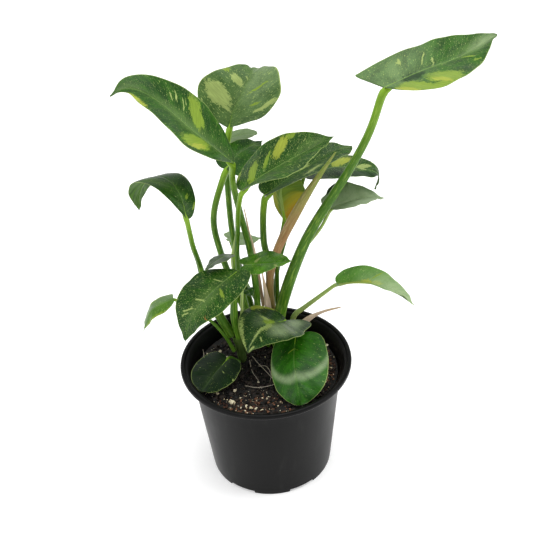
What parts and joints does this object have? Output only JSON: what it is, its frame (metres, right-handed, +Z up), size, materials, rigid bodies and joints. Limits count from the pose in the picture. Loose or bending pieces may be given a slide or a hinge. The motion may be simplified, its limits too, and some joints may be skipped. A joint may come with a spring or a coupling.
{
  "type": "potted variegated green congo philodendron",
  "caption": "Potted aroid house plant with glossy green, lime-variegated leaves on long stalks in a round black plastic nursery pot.",
  "frame": {"origin": "centre of the pot's base, on the surface it stands on", "axes": "+Z up along the pot's axis, +X to the right and -Y towards the viewer of the pictured side"},
  "size_m": [0.3251, 0.2065, 0.4174],
  "materials": {
    "pot_black": "satin",
    "mix_dark": "rough",
    "blade_green": "semi-gloss",
    "stalk_green": "satin",
    "stem_green": "satin",
    "new_leaf_tan": "satin",
    "sheath_pink": "matte",
    "sheath_pale_green": "matte"
  },
  "bodies": {
    "root": {"nursery_pot": "pot_black", "potting_mix": "mix_dark", "stem_left": "stem_green", "stem_middle": "stem_green", "stem_right": "stem_green", "leaf_01_stalk": "stalk_green", "leaf_01_blade": "blade_green", "leaf_02_stalk": "stalk_green", "leaf_02_blade": "blade_green", "leaf_03_stalk": "stalk_green", "leaf_03_blade": "blade_green", "leaf_04_stalk": "stalk_green", "leaf_04_blade": "blade_green", "leaf_05_stalk": "stalk_green", "leaf_05_blade": "blade_green", "leaf_06_stalk": "stalk_green", "leaf_06_blade": "blade_green", "leaf_07_stalk": "stalk_green", "leaf_07_blade": "blade_green", "leaf_08_stalk": "stalk_green", "leaf_08_blade": "blade_green", "leaf_09_stalk": "stalk_green", "leaf_09_blade": "blade_green", "leaf_10_stalk": "stalk_green", "leaf_10_blade": "blade_green", "leaf_11_stalk": "stalk_green", "leaf_11_blade": "blade_green", "leaf_12_stalk": "stalk_green", "leaf_12_blade": "blade_green", "leaf_13_stalk": "stalk_green", "leaf_13_blade": "blade_green", "leaf_14_stalk": "stalk_green", "leaf_14_blade": "blade_green", "leaf_15_stalk": "stalk_green", "leaf_15_blade": "blade_green", "leaf_16_stalk": "stalk_green", "leaf_16_blade": "blade_green", "leaf_17_stalk": "stalk_green", "leaf_17_blade": "blade_green", "leaf_18_stalk": "stalk_green", "leaf_18_blade": "blade_green", "leaf_19_stalk": "stalk_green", "leaf_19_blade": "blade_green", "leaf_20_stalk": "stalk_green", "leaf_20_blade": "blade_green", "leaf_21_stalk": "stalk_green", "leaf_21_blade": "blade_green", "new_leaf_spear": "new_leaf_tan", "sheath_right": "sheath_pink", "sheath_middle": "sheath_pink", "sheath_centre": "sheath_pink", "sheath_pale": "sheath_pale_green"}
  },
  "joints": []
}
